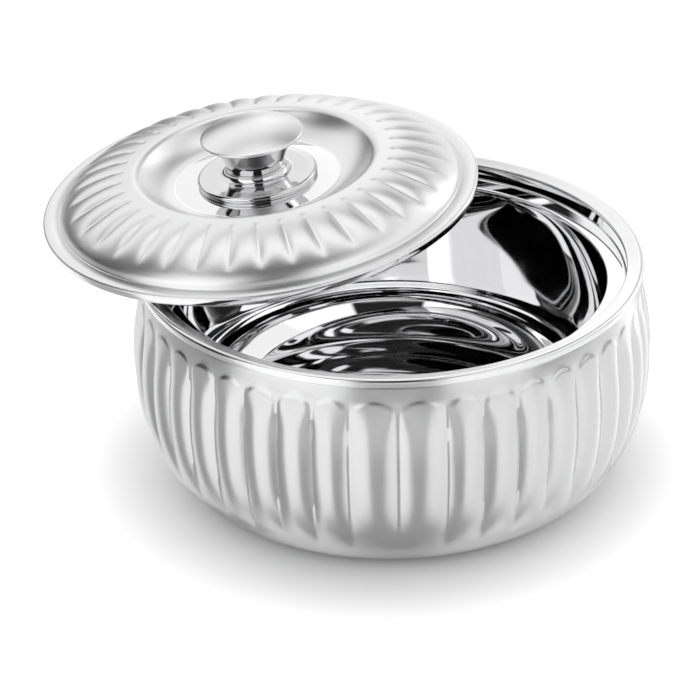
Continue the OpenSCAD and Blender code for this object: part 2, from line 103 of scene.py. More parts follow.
def bend(p, q, s, n=12):
    """Points of a curve that leaves p towards q and arrives at s from q."""
    steps = [i / n for i in range(n + 1)]
    return [tuple((1 - t) ** 2 * a + 2 * t * (1 - t) * b + t * t * c for a, b, c in zip(p, q, s)) for t in steps]


def superellipse(r_in, r_out, low, high, exponent, start, n):
    """The curve from a flat bottom at r_in up to the widest place at r_out."""
    power = 2 / exponent
    turns = [math.radians(start + (90 - start) * i / n) for i in range(n + 1)]
    return [
        (
            r_in + (r_out - r_in) * math.sin(t) ** power,
            high - (high - low) * max(0, math.cos(t)) ** power,
        )
        for t in turns
    ]


print(f"a quarter round has {len(arc(0, 0, 1, 0, 90))} points, a bend {len(bend((0, 0), (1, 0), (1, 1)))}")

# %% [markdown]
# ## From a line to a sheet
#
# A pressed part is a sheet of one thickness, so only its outer side is drawn and the inner side is the same
# line moved sideways. That keeps the wall even without drawing it twice. The hidden side needs fewer
# points, because nobody looks at its highlights.

# %% Sheets


def beside(line, t):
    """The same line moved sideways by t, to the left of its run."""
    moved = []
    for i, (x, y) in enumerate(line):
        before, after = line[max(i - 1, 0)], line[min(i + 1, len(line) - 1)]
        run = Vector((after[0] - before[0], after[1] - before[1])).normalized()
        moved.append((x - t * run.y, y + t * run.x))
    return moved


def sheet_outline(line, t):
    """A closed outline of a sheet of thickness t along a line, with every second point on its hidden side."""
    back = beside(line, t)[::-1]
    return list(line) + back[:-1:2] + back[-1:]


print(f"a sheet on a quarter round has {len(sheet_outline(arc(0, 0, 1, 0, 90), 0.1))} points round it")

# %% [markdown]
# ## Turning an outline round its axis
#
# A lathe part is made by Blender's spin operator in two goes. The outline's points are joined by edges and
# swept through one sector, and then the whole sector is copied round the axis, which is much quicker than
# one long sweep. Merging doubles closes the seams between the sectors, and the poles too, where points fall
# together on the axis.

# %% Spin
SEAM = 0.002 * MM
NO_LENGTH = 0.001 * MM
FULL_TURN = 2 * math.pi


def spun(bm, geom, angle, steps, copy=False):
    centre, axis, slide = (0, 0, 0), (0, 0, 1), (0, 0, 0)
    bmesh.ops.spin(
        bm, geom=geom, cent=centre, axis=axis, dvec=slide, angle=angle, steps=steps, use_duplicate=copy
    )


def lathe(outline, sectors, steps):
    """A closed outline turned round the z axis, as some sectors with some steps each."""
    bm = bmesh.new()
    points = [bm.verts.new((max(r, 0), 0, z)) for r, z in outline]
    edges = [bm.edges.new(pair) for pair in zip(points, points[1:] + points[:1])]
    sector = FULL_TURN / sectors
    spun(bm, points + edges, sector, steps)
    spun(bm, bm.verts[:] + bm.edges[:] + bm.faces[:], FULL_TURN - sector, sectors - 1, copy=True)
    bmesh.ops.remove_doubles(bm, verts=bm.verts, dist=SEAM)
    bmesh.ops.dissolve_degenerate(bm, edges=bm.edges, dist=NO_LENGTH)
    return bm


print(f"seams closer than {SEAM / MM} mm are closed")

# %% [markdown]
# ## From a turned mesh to a piece
#
# A pressing is not only turned: a tool may stamp flutes into it, so a shape function can move the points
# while the part's axis is still the origin's. The normals are then made to point outwards, and the mesh is
# carried to its place. The faces are smoothed, but edges sharper than a set angle stay crisp, as on real
# pressed sheet.

# %% Press, place and smooth


def object_of(name, bm):
    mesh = bpy.data.meshes.new(name)
    bm.to_mesh(mesh)
    bm.free()
    piece = bpy.data.objects.new(name, mesh)
    bpy.context.scene.collection.objects.link(piece)
    return piece


def turned(name, outline, sectors, steps, shape=None, place=None, crisp=40):
    """A turned part whose edges stay sharp over crisp degrees."""
    bm = lathe(outline, sectors, steps)
    if shape:
        shape(bm)
    bmesh.ops.recalc_face_normals(bm, faces=bm.faces)
    piece = object_of(name, bm)
    mesh = piece.data
    if place:
        mesh.transform(place)
    mesh.shade_smooth()
    mesh.set_sharp_from_angle(angle=math.radians(crisp))
    triangles = sum(len(p.vertices) - 2 for p in mesh.polygons)
    print(f"{name}: {len(mesh.vertices)} points, {triangles} triangles")
    return piece


print("edges over 40 degrees stay sharp unless a piece says otherwise")

# %% [markdown]
# ## The flutes
#
# The shell is pressed into a ring of convex flutes. The photograph shows two wide ones side by side at the
# front and narrow ones round the rest. Every flute gets the same number of columns of points, so a column's
# number says which flute it is on and how far across, and the wide ones only spread their columns further.

# %% Where the flutes are
NARROW_FLUTES, WIDE_FLUTES = 42, 2
WIDE_FLUTE = math.radians(10.4)
NARROW_FLUTE = (FULL_TURN - WIDE_FLUTES * WIDE_FLUTE) / NARROW_FLUTES
FRONT = -math.pi / 2
FLUTES = NARROW_FLUTES + WIDE_FLUTES
FLUTE_COLUMNS = 16


def flute_at(column):
    """The angle of a column of points and its place across its flute, from -1 to 1."""
    flute, step = divmod(column % (FLUTES * FLUTE_COLUMNS), FLUTE_COLUMNS)
    across = step / FLUTE_COLUMNS
    if flute < WIDE_FLUTES:
        angle = FRONT - WIDE_FLUTE + WIDE_FLUTE * (flute + across)
    else:
        angle = FRONT + WIDE_FLUTE + NARROW_FLUTE * (flute - WIDE_FLUTES + across)
    return angle, 2 * across - 1


def columns_of(bm, count):
    """Each point of a turned mesh, with the number of its column and its radius."""
    for v in bm.verts:
        yield v, round(math.atan2(v.co.y, v.co.x) / FULL_TURN * count), math.hypot(v.co.x, v.co.y)


print(f"{FLUTES} flutes, {FLUTES * FLUTE_COLUMNS} columns of points")

# %% [markdown]
# ## How deep the flutes are
#
# Seen from above, each flute is a shallow arch, and where two meet there is a crease. So the plain turned
# wall is moved in by an amount that is nothing along the middle of a flute and the full depth at its edge.
# The creases fade in below the neck and fade out towards the foot. Each flute's head also stands a little
# proud of the neck, with a small fold round it where the press tool stops. That fold draws the round heads
# near the rim and fades down the creases.

# %% Creases and folds
FLUTE_DEPTH, FLUTE_PROUD = 2.4 * MM, 0.4 * MM
HEAD_DROP, FLUTE_HEAD = 11 * MM, 7 * MM
FLUTE_TOP_Z = RIM_Z - HEAD_DROP
HEAD_Z = FLUTE_TOP_Z - FLUTE_HEAD
CREASE_RUN = 3 * FLUTE_HEAD
TAIL_Z, TAIL_RUN = 14 * MM, 38 * MM
CREASE_SOFT = 1.5
FOLD, FOLD_RUN = 0.25, 16 * MM


def eased(t, soft):
    """0 up to t = 0, 1 from t = 1 on, and between them a rise that starts softly and ends flat."""
    return math.sin(min(1, max(0, t)) * math.pi / 2) ** soft


def crease_depth(z):
    """How deep the creases are at height z."""
    from_top, from_tail = (FLUTE_TOP_Z - z) / CREASE_RUN, (z - TAIL_Z) / TAIL_RUN
    return FLUTE_DEPTH * eased(from_top, CREASE_SOFT) * eased(from_tail, CREASE_SOFT)


def fold_depth(across, z):
    """How far the wall lies below a flute that stands proud: nothing inside it, all of it outside."""
    inside = 1 - math.hypot(across, max(0, (z - HEAD_Z) / FLUTE_HEAD))
    t = min(1, max(0, inside / FOLD))
    run = min(1, max(0, 1 - (HEAD_Z - z) / FOLD_RUN))
    return FLUTE_PROUD * (1 - t * t * (3 - 2 * t)) * run


def press_flutes(bm):
    for v, column, r in columns_of(bm, FLUTES * FLUTE_COLUMNS):
        angle, across = flute_at(column)
        r -= crease_depth(v.co.z) * across**2 + fold_depth(across, v.co.z)
        v.co = (r * math.cos(angle), r * math.sin(angle), v.co.z)


print(f"creases at the belly are {crease_depth(BELLY_Z) / MM:.2f} mm deep")

# %% [markdown]
# ## Outer shell
#
# The wall starts at the lip under the foot, swells to the belly in a superellipse, draws in to the neck in
# a parabola, and turns in to a flange under the rim ring. The rows lie closest where the flutes' heads
# are, because that is where the shape changes fastest.

# %% Outer shell
RING_FALL, RING_T = 1.2 * MM, 1 * MM
NECK_Z = RIM_Z - RING_FALL - RING_T - SHEET
NECK_IN = STEP_R + 2.4 * MM
NECK_ROUND = 1.4 * MM
LIP_Z, LIP_IN, LIP_OUT = 1 * MM, FOOT_R + 3 * MM, FOOT_R + 7 * MM
BELLY_CURVE = 2.18
CLOSE_ROWS_Z = HEAD_Z - 8 * MM


def shoulder(z):
    return (BODY_R - (BODY_R - NECK_R) * ((z - BELLY_Z) / (NECK_Z - BELLY_Z)) ** 2, z)


def steps_between(low, high, n):
    return [low + (high - low) * i / n for i in range(1, n + 1)]


shoulder_rows = (
    steps_between(BELLY_Z, CLOSE_ROWS_Z, 8)
    + steps_between(CLOSE_ROWS_Z, FLUTE_TOP_Z, 22)
    + steps_between(FLUTE_TOP_Z, NECK_Z - NECK_ROUND, 3)
)
wall_line = (
    [(LIP_IN, LIP_Z), (LIP_OUT, LIP_Z)]
    + superellipse(FOOT_R, BODY_R, 0, BELLY_Z, BELLY_CURVE, 15, 26)
    + [shoulder(z) for z in shoulder_rows]
    + arc(NECK_R - NECK_ROUND, NECK_Z - NECK_ROUND, NECK_ROUND, 15, 90, 4)
    + [(NECK_IN, NECK_Z)]
)
outer_shell = turned(
    "outer_shell_skin", sheet_outline(wall_line, SHEET), FLUTES, FLUTE_COLUMNS, shape=press_flutes, crisp=50
)

# %% [markdown]
# ## Rim ring
#
# A separate ring caps the edge where the two shells meet. Its top slopes gently down to the mouth, its
# outer edge is rolled, and a short skirt hides the joint. The rolled edge is an arc, so that the bright
# line along the rim is a real highlight on a real round.

# %% Rim ring
RING_Z = RIM_Z - RING_FALL
RING_UNDER = RING_Z - RING_T
RING_ROLL, EDGE = 1.5 * MM, 0.5 * MM
SKIRT_T, SKIRT_H = RING_T + 0.2 * MM, 1.6 * MM

skirt_line = [(RIM_R - SKIRT_T, RING_UNDER), (RIM_R - SKIRT_T, RING_UNDER - SKIRT_H)]
top_line = bend(
    (RIM_R - 2.2 * MM, RIM_Z - 0.05 * MM), (STEP_R + 3 * MM, RING_Z + 0.5 * MM), (STEP_R + EDGE, RING_Z), 8
)
ring_outline = (
    [(STEP_R + EDGE, RING_UNDER)]
    + skirt_line
    + arc(RIM_R - EDGE, RING_UNDER - SKIRT_H + EDGE, EDGE, -90, 0, 4)
    + arc(RIM_R - RING_ROLL, RIM_Z - RING_ROLL, RING_ROLL, 0, 82, 8)
    + top_line
    + arc(STEP_R + EDGE, RING_Z - EDGE, EDGE, 90, 180, 4)
)
rim_ring = turned("rim_ring_skin", ring_outline, 16, 16)

# %% [markdown]
# ## Food bowl
#
# The inner bowl is one deep-drawn pressing: a wide flat floor, a rounded corner, a nearly straight wall, a
# lip that turns out at the mouth, the seat that the lid lies on and the step up to the rim. It is polished
# like a mirror, and a mirror shows every kink, so its outline has many more points than its shape alone
# would need.

# %% Food bowl
CORNER_H, CORNER_CURVE = 33 * MM, 2
CORNER_Z = FLOOR_Z + CORNER_H
LIP_R, STEP_ROUND = 1.2 * MM, 1 * MM
FLANGE_R = STEP_R + 4.4 * MM

wall_curve = bend(
    (INNER_R, CORNER_Z + 4 * MM),
    (INNER_R - 0.6 * MM, SEAT_Z - 16 * MM),
    (MOUTH_R + 0.9 * MM, SEAT_Z - 3.2 * MM),
    24,
)
bowl_line = (
    [(0, FLOOR_Z), (FLOOR_R * 0.5, FLOOR_Z), (FLOOR_R, FLOOR_Z)]
    + superellipse(FLOOR_R, INNER_R, FLOOR_Z, CORNER_Z, CORNER_CURVE, 4, 40)
    + wall_curve
    + arc(MOUTH_R + LIP_R, SEAT_Z - LIP_R, LIP_R, 180, 90, 8)
    + [(STEP_R - 1.4 * STEP_ROUND, SEAT_Z)]
    + arc(STEP_R - STEP_ROUND, SEAT_Z + STEP_ROUND, STEP_ROUND, -60, 0, 6)
    + arc(STEP_R + STEP_ROUND, RING_UNDER - STEP_ROUND, STEP_ROUND, 180, 90, 6)
    + [(FLANGE_R, RING_UNDER)]
)
food_bowl = turned("food_bowl_skin", sheet_outline(bowl_line, -SHEET), 16, 20, crisp=50)

# %% [markdown]
# ## How the lid lies
#
# The loose lid lies ajar: its centre is left of and behind the bowl's, and it leans down to the left,
# where the flat under its plug rests on the rim. All of the lid's parts are turned round the lid's own
# axis at the origin, and one matrix then carries their meshes to this place.

# %% The lid's place
LID_X, LID_Y = -62.4 * MM, 41 * MM
LEAN, LEAN_WAY = math.radians(5.6), math.radians(-169.4)
PLUG_DROP, REST_GAP = 8.8 * MM, 0.3 * MM

way = Vector((math.cos(LEAN_WAY), math.sin(LEAN_WAY), 0))
lid_axis = math.sin(LEAN) * way + math.cos(LEAN) * Vector((0, 0, 1))
touch = RIM_R * way - Vector((LID_X, LID_Y, 0))
LID_Z = RIM_Z + (lid_axis.dot(touch) + PLUG_DROP + REST_GAP) / lid_axis.z
on_lid = Matrix.Translation((LID_X, LID_Y, LID_Z)) @ Matrix.Rotation(LEAN, 4, (-way.y, way.x, 0))
print(f"lid centre {LID_Z / MM:.1f} mm above the table")

# %% [markdown]
# ## The dome's outline
#
# The cover is one pressing too: a recess for the knob, a round crest, a fluted dome that falls to a groove,
# a flat rim and a rolled edge. The dome is close to flat at the crest and steep at the groove, so its
# height follows two powers rather than a circle.

# %% Lid sizes and dome
LID_GAP, LID_RIM_W, EDGE_R = 5.8 * MM, 8.2 * MM, 1.2 * MM
LID_R = STEP_R - LID_GAP
GROOVE_R = LID_R - LID_RIM_W
CREST_R, CREST_H = 61 * MM, 17.5 * MM
RECESS_R, RECESS_H = 41 * MM, 8 * MM
DOME_FLAT, DOME_STEEP = 2.1, 0.72


def dome(r):
    t = min(1, max(0, (r - CREST_R) / (GROOVE_R - CREST_R)))
    return EDGE_R + (CREST_H - EDGE_R) * (1 - t**DOME_FLAT) ** DOME_STEEP


print(f"lid {2 * LID_R / MM:.1f} mm across, dome {dome(CREST_R) / MM:.1f} mm high at the crest")

# %% [markdown]
# ## The lid's creases
#
# The lid's creases are pressed down instead of in. They deepen outwards from the crest and run out before
# the groove, and a small dimple marks where each one starts, because the tool bites first there. A crease
# is narrower than on the shell, so the place across the flute gets a higher power.

# %% Lid creases
LID_FLUTES, LID_COLUMNS = 38, 16
LID_PHASE = math.radians(-88.3)
LID_CREASE, LID_ARCH, LID_CREASE_SOFT = 1.3 * MM, 2.5, 1.2
CREASE_IN, CREASE_OUT = CREST_R + 4 * MM, GROOVE_R - 4.2 * MM
CREASE_RISE, CREASE_FALL = 1.5, 2.8
DIMPLE_DEPTH, DIMPLE_RUN, DIMPLE_ARCH = 0.35 * MM, 2.4 * MM, 6
DOME_FOOT_Z = EDGE_R - 1.5 * SHEET


def lid_crease(r):
    """How deep the creases are at radius r, and how much deeper in the dimple at their start."""
    if r <= CREASE_IN or r >= CREASE_OUT:
        return 0, 0
    t = (r - CREASE_IN) / (CREASE_OUT - CREASE_IN)
    deep = eased(t * CREASE_RISE, LID_CREASE_SOFT) * eased((1 - t) * CREASE_FALL, LID_CREASE_SOFT)
    dimple = math.exp(-3 * ((r - CREASE_IN) / DIMPLE_RUN - 1) ** 2)
    return LID_CREASE * deep, DIMPLE_DEPTH * dimple


def press_lid_flutes(bm):
    count = LID_FLUTES * LID_COLUMNS
    for v, column, r in columns_of(bm, count):
        across = abs(2 * (column % LID_COLUMNS) / LID_COLUMNS - 1)
        angle = LID_PHASE + column * FULL_TURN / count
        deep, dimple = lid_crease(r)
        drop = deep * across**LID_ARCH + dimple * across**DIMPLE_ARCH if v.co.z > DOME_FOOT_Z else 0
        v.co = (r * math.cos(angle), r * math.sin(angle), v.co.z - drop)


print(f"{LID_FLUTES} creases from radius {CREASE_IN / MM:.1f} to {CREASE_OUT / MM:.1f} mm")

# %% [markdown]
# ## Lid cover
#
# The outline runs from the knob's hole outwards: the flat recess floor, the recess's side, the crest, the
# dome, the groove and the rim. Each bend leaves in the direction of the next curve, so that no kink shows in
# the steel. At the edge the sheet rolls over and hangs down in a short skirt, which hides the liner's edge.

# %% Lid cover
STUD_HOLE, HEM, SKIRT, SKIRT_LEAN = 3.1 * MM, 3.6 * MM, 2.4 * MM, 0.3 * MM
CREST_END = CREST_R + 1.2 * MM

recess_floor = [(STUD_HOLE, RECESS_H), (RECESS_R - 1.2 * MM, RECESS_H), (RECESS_R - 0.3 * MM, RECESS_H - 0.1 * MM)]
recess_side = bend(
    (RECESS_R, RECESS_H), (RECESS_R + 8.5 * MM, RECESS_H + 0.3 * MM), (CREST_R - 4.5 * MM, CREST_H - 1.6 * MM), 14
)
crest = bend(
    (CREST_R - 4.1 * MM, CREST_H - 1.2 * MM), (CREST_R - 2.2 * MM, CREST_H + 0.35 * MM), (CREST_END, dome(CREST_END)), 8
)
dome_curve = [(r, dome(r)) for r in steps_between(CREST_END, GROOVE_R - 0.9 * MM, 40)]
groove = bend(
    (GROOVE_R - 0.6 * MM, EDGE_R + 0.4 * MM), (GROOVE_R, EDGE_R - 1.3 * MM), (GROOVE_R + 1 * MM, EDGE_R), 7
)
cover_face = recess_floor + recess_side + crest + dome_curve + groove + [(LID_R - EDGE_R, EDGE_R)]
rolled_edge = (
    arc(LID_R - EDGE_R, 0, EDGE_R, 72, 0, 6)
    + arc(LID_R - EDGE_R - SKIRT_LEAN, -SKIRT, EDGE_R, 0, -90, 6)
    + [(LID_R - HEM, -SKIRT - EDGE_R), (LID_R - HEM, -SHEET)]
)
edge_back = [(LID_R - EDGE_R, -SHEET), (LID_R - EDGE_R, EDGE_R - SHEET)]
cover_back = edge_back + beside(cover_face[1:-1], -SHEET)[::-2] + [(STUD_HOLE, RECESS_H - SHEET)]
lid_cover = turned(
    "lid_cover_skin",
    cover_face + rolled_edge + cover_back,
    LID_FLUTES,
    LID_COLUMNS,
    shape=press_lid_flutes,
    place=on_lid,
    crisp=50,
)

# %% [markdown]
# ## Lid liner
#
# Under the lid a polished pan holds the foam, and its plug drops into the mouth. It shows below the
# lid's edge on the right, where the lid stands clear of the bowl. A push-in plug closes the fill hole in
# its middle, and that one stays as the frame has it.

# %% Lid liner
PLUG_GAP, FILL_HOLE = 3.8 * MM, 6 * MM
PLUG_R = MOUTH_R - PLUG_GAP
LINER_EDGE = LID_R - EDGE_R - 0.4 * MM
PLUG_CORNER, LINER_NECK = 3.5 * MM, 1.2 * MM

liner_line = (
    [(FILL_HOLE, -PLUG_DROP), (PLUG_R * 0.6, -PLUG_DROP)]
    + arc(PLUG_R - PLUG_CORNER, PLUG_CORNER - PLUG_DROP, PLUG_CORNER, -90, -4, 10)
    + arc(PLUG_R + LINER_NECK, -SHEET / 2 - LINER_NECK, LINER_NECK, 176, 90, 6)
    + [(LINER_EDGE, -SHEET / 2)]
)
lid_liner = turned("lid_liner_skin", sheet_outline(liner_line, SHEET), 16, 16, place=on_lid, crisp=50)

# %% [markdown]
# ## Knob base
#
# The knob is three turned parts in a stack: a base, a waist and a cap. The base has a thick flange with a
# rounded edge, and a boss in its middle that meets the flange in a hollow curve, as turned stock does.

# %% Knob base
KNOB_BASE_R, KNOB_BASE_H = 29.4 * MM, 7.3 * MM
WAIST_R = 14.1 * MM
BOSS_R, BOSS_ROUND = WAIST_R + 0.3 * MM, 0.4 * MM
FLANGE_T, FLANGE_ROUND = 3.6 * MM, 1.8 * MM


def raised(points, z):
    return [(r, h + z) for r, h in points]


flange_top = bend(
    (KNOB_BASE_R - FLANGE_ROUND - 0.4 * MM, FLANGE_T),
    (KNOB_BASE_R - 6 * MM, FLANGE_T + 0.3 * MM),
    (BOSS_R + 4.4 * MM, FLANGE_T + 0.1 * MM),
    8,
)
boss_side = bend(
    (BOSS_R + 3.6 * MM, FLANGE_T), (BOSS_R + 0.4 * MM, FLANGE_T + 0.4 * MM), (BOSS_R, KNOB_BASE_H - 0.5 * MM), 12
)
base_outline = (
    [(0, 0), (KNOB_BASE_R - 1 * MM, 0)]
    + arc(KNOB_BASE_R - FLANGE_ROUND, FLANGE_ROUND, FLANGE_ROUND, -60, 90, 12)
    + flange_top
    + boss_side
    + arc(BOSS_R - BOSS_ROUND, KNOB_BASE_H - BOSS_ROUND, BOSS_ROUND, 0, 90, 4)
    + [(0, KNOB_BASE_H)]
)
knob_base = turned("knob_base_skin", raised(base_outline, RECESS_H), 12, 16, place=on_lid)

# %% [markdown]
# ## Knob waist
#
# The waist flares out under the cap, so that fingers can hold it. A fine dark joint shows between the base
# and the waist, and the waist's lower edge has a small bevel that leaves a real groove there.

# %% Knob waist
KNOB_H, CAP_R = 15.2 * MM, 25 * MM
WAIST_Z = RECESS_H + KNOB_BASE_H
FLARE_R = CAP_R - 5.6 * MM

waist_outline = (
    [(0, 0), (WAIST_R - 0.6 * MM, 0)]
    + arc(WAIST_R - 0.5 * MM, 0.6 * MM, 0.5 * MM, -60, 0, 5)
    + bend((WAIST_R, 1.2 * MM), (WAIST_R + 1 * MM, 0.34 * KNOB_H), (FLARE_R, 0.84 * KNOB_H), 24)
    + [(FLARE_R + 0.3 * MM, KNOB_H), (0, KNOB_H)]
)
knob_waist = turned("knob_waist_skin", raised(waist_outline, WAIST_Z), 12, 16, place=on_lid)

# %% [markdown]
# ## Knob cap
#
# The cap is a shallow dome with a rounded edge. The dome is part of a sphere, whose radius follows from how
# wide the cap is and how far it rises, and its arc ends on the axis, where the lathe closes it.

# %% Knob cap
CAP_RISE, CAP_EDGE = 4.6 * MM, 0.8 * MM
CAP_Z = WAIST_Z + KNOB_H
DOME_R = ((CAP_R - CAP_EDGE) ** 2 + CAP_RISE**2) / (2 * CAP_RISE)
DOME_HALF = math.degrees(math.asin((CAP_R - CAP_EDGE) / DOME_R))

cap_outline = (
    [(0, 0)]
    + arc(CAP_R - CAP_EDGE, CAP_EDGE, CAP_EDGE, -90, 62, 12)
    + arc(0, 2 * CAP_EDGE + CAP_RISE - DOME_R, DOME_R, 90 - DOME_HALF + 1.2, 90, 24)
)
knob_cap = turned("knob_cap_skin", raised(cap_outline, CAP_Z), 12, 16, place=on_lid)

# %% [markdown]
# ## Shader sums as plain expressions
#
# A shader graph is easier to read as arithmetic. A Field wraps one socket, and adding or multiplying
# Fields adds the Math nodes.

# %% Fields


class Field:
    """One node socket that can be used in an expression."""

    def __init__(self, recipe, socket):
        self.recipe, self.socket = recipe, socket

    def math(self, operation, *others):
        return self.recipe.node("ShaderNodeMath", {"operation": operation}, dict(enumerate((self, *others))))

    def __add__(self, other):
        return self.math("ADD", other)

    def __mul__(self, other):
        return self.math("MULTIPLY", other)

    def __sub__(self, other):
        return self.math("SUBTRACT", other)

    def __rsub__(self, other):
        return self.recipe.node("ShaderNodeMath", {"operation": "SUBTRACT"}, {0: other, 1: self})

    __radd__ = __add__
    __rmul__ = __mul__


print("a Field can be added, subtracted and multiplied")

# %% [markdown]
# ## Recipes
#
# Every other node goes through one method, which takes a node's type, its settings and its sockets. The
# settings come first, because some of them change which sockets a node has. A socket gets a plain value or
# a link from a Field. Three short helpers cover what steel, foam and light need again and again.

# %% Recipes


class Recipe:
    """The nodes of one material or of the world."""

    def __init__(self, tree):
        self.tree = tree
        tree.nodes.clear()

    def node(self, kind, settings=None, sockets=None, out=0):
        made = self.tree.nodes.new(kind)
        for key, value in (settings or {}).items():
            setattr(made, key, value)
        for key, value in (sockets or {}).items():
            if isinstance(value, Field):
                self.tree.links.new(value.socket, made.inputs[key])
            else:
                made.inputs[key].default_value = value
        return Field(self, made.outputs[out] if made.outputs else None)

    def ramp(self, value, low, high, start=0.0, end=1.0):
        """start below low, end above high, and a smooth way between."""
        return self.node(
            "ShaderNodeMapRange",
            {"interpolation_type": "SMOOTHSTEP"},
            {"Value": value, "From Min": low, "From Max": high, "To Min": start, "To Max": end},
        )

    def between(self, value, low, high, soft):
        """1 between low and high, 0 outside, with soft edges."""
        return self.ramp(value, low - soft, low + soft) * self.ramp(value, high - soft, high + soft, 1.0, 0.0)

    def noise(self, vector, scale, detail=2.0, roughness=0.5):
        return self.node(
            "ShaderNodeTexNoise", {}, {"Vector": vector, "Scale": scale, "Detail": detail, "Roughness": roughness}
        )


def material(name):
    made = bpy.data.materials.new(name)
    made.use_nodes = True
    return made, Recipe(made.node_tree)


print("node helpers:", [name for name in vars(Recipe) if not name.startswith("_")])

# %% [markdown]
# ## A part's own axis
#
# The lid's parts lean and stand off the origin, but a pattern on them should follow their own axis. A Mapping
# node turns Object coordinates back by the same matrix that placed the mesh. The radius is the length of
# what is left when the height is taken away.

# %% Radius and height


def on_axis(recipe, place):
    """Object coordinates seen from a part's own axis, its radius and its height."""
    coordinates = recipe.node("ShaderNodeTexCoord", out=3)
    back = place.inverted()
    own = recipe.node(
        "ShaderNodeMapping",
        {"vector_type": "POINT"},
        {"Vector": coordinates, "Location": back.to_translation(), "Rotation": back.to_euler()},
    )
    flat = recipe.node("ShaderNodeVectorMath", {"operation": "MULTIPLY"}, {0: own, 1: (1, 1, 0)})
    radius = recipe.node("ShaderNodeVectorMath", {"operation": "LENGTH"}, {0: flat}, out=1)
    height = recipe.node("ShaderNodeSeparateXYZ", {}, {0: own}, out=2)
    return own, radius, height


print(f"the lid's axis leans {math.degrees(lid_axis.angle(Vector((0, 0, 1)))):.1f} degrees")

# %% [markdown]
# ## Two finishes of one steel
#
# Satin and mirror are the same metal with a different skin. Satin is blasted and then brushed very lightly:
# its roughness is about a quarter and a fine grain breaks the highlights. The mirror is buffed on a lathe,
# so it has almost no roughness, but a cloudy unevenness and, in the bowl, faint rings keep it from looking
# like glass. One function makes both, and a mask may blend them on a single pressing.

# %% Steel
CLOUDS, GRAINS, LATHE_LINES = 60.0, 2600.0, 1900.0
SATIN_SPREAD, MIRROR_SPREAD = 0.06, 0.012
DARKER, LIGHTER = 0.97, 1.02


def steel(name, place, colour, satin, mirror=0.035, mask=None, grain=0.02 * MM, rings=0.0):
    """Steel whose roughness is satin where the mask is 1 and mirror where it is 0."""
    made, recipe = material(name)
    own, radius, height = on_axis(recipe, place)
    share = mask(recipe, radius, height) if mask else 1.0
    cloud = recipe.noise(own, CLOUDS, 3.0)
    fine = recipe.noise(own, GRAINS)
    along = recipe.node("ShaderNodeCombineXYZ", {}, {"X": radius, "Y": height, "Z": 0.0})
    turning = recipe.noise(along, LATHE_LINES, 2.0, 0.6)
    satin_rough = cloud * SATIN_SPREAD + (satin - SATIN_SPREAD / 2)
    mirror_rough = cloud * MIRROR_SPREAD + (mirror - MIRROR_SPREAD / 2)
    dark = [c * DARKER for c in colour] + [1.0]
    light = [min(1, c * LIGHTER) for c in colour] + [1.0]
    tint = recipe.node("ShaderNodeMix", {"data_type": "RGBA"}, {"Factor": cloud, "A": dark, "B": light}, out=2)
    relief = fine * share * grain + turning * rings
    bump = recipe.node("ShaderNodeBump", {}, {"Strength": 1.0, "Distance": 1.0, "Height": relief})
    rough = satin_rough * share + mirror_rough * (1.0 - share)
    sockets = {"Base Color": tint, "Metallic": 1.0, "Roughness": rough, "Normal": bump}
    surface = recipe.node("ShaderNodeBsdfPrincipled", {}, sockets)
    recipe.node("ShaderNodeOutputMaterial", {}, {"Surface": surface})
    print(f"{name}: {len(made.node_tree.nodes)} nodes")
    return made


def cover_mask(recipe, radius, height):
    """Satin on the dome and the recess's side, mirror on the recess floor and on the skirt round the edge."""
    on_dome = recipe.ramp(radius, RECESS_R - 0.6 * MM, RECESS_R + 0.6 * MM)
    return on_dome * recipe.ramp(height, -0.4 * MM, 0.2 * MM)


# %% [markdown]
# ## The steels of the bowl and the lid
#
# One steel gets three tones. The polished tone is the mirror's own; the lighter tone on the rim, the lid and
# the cap is painted light, and the darker tone on the shell and the knob is painted shade, not a property of
# the finish. Each steel names the axis that its lathe lines follow.

# %% Steels
IDENTITY = Matrix.Identity(4)
# The darker and the lighter tone are painted shade and painted light on one steel.
SHADE_PAINTED_STEEL = (0.70, 0.70, 0.705)
LIGHT_PAINTED_STEEL = (0.84, 0.84, 0.845)
POLISHED = (0.90, 0.90, 0.905)

# The shell and the knob get the darker tone, painted shade; the rim, the cover and the cap the lighter, painted light.
shell_steel = steel("satin_shell", IDENTITY, SHADE_PAINTED_STEEL, satin=0.24)
ring_steel = steel("satin_ring", IDENTITY, LIGHT_PAINTED_STEEL, satin=0.18)
bowl_steel = steel("mirror_bowl", IDENTITY, POLISHED, satin=0.03, mirror=0.03, grain=0.0, rings=0.0006 * MM)
cover_steel = steel("satin_cover", on_lid, LIGHT_PAINTED_STEEL, satin=0.32, mask=cover_mask)
liner_steel = steel("mirror_liner", on_lid, POLISHED, satin=0.05, mirror=0.05, grain=0.0)
knob_steel = steel("mirror_knob", on_lid, SHADE_PAINTED_STEEL, satin=0.05, mirror=0.05, grain=0.0)
cap_steel = steel("satin_cap", on_lid, LIGHT_PAINTED_STEEL, satin=0.3)
hidden_steel = steel("plain_steel", IDENTITY, SHADE_PAINTED_STEEL, satin=0.35)

# %% [markdown]
# ## Foam and plugs
#
# The foam between the walls and the push-in plugs of the fill holes are out of sight, but they are parts of
# the object and have their own finish. Foam is pale yellow with small cells, and a plug is dark moulded
# plastic with a fine texture.

# %% Foam and plastic


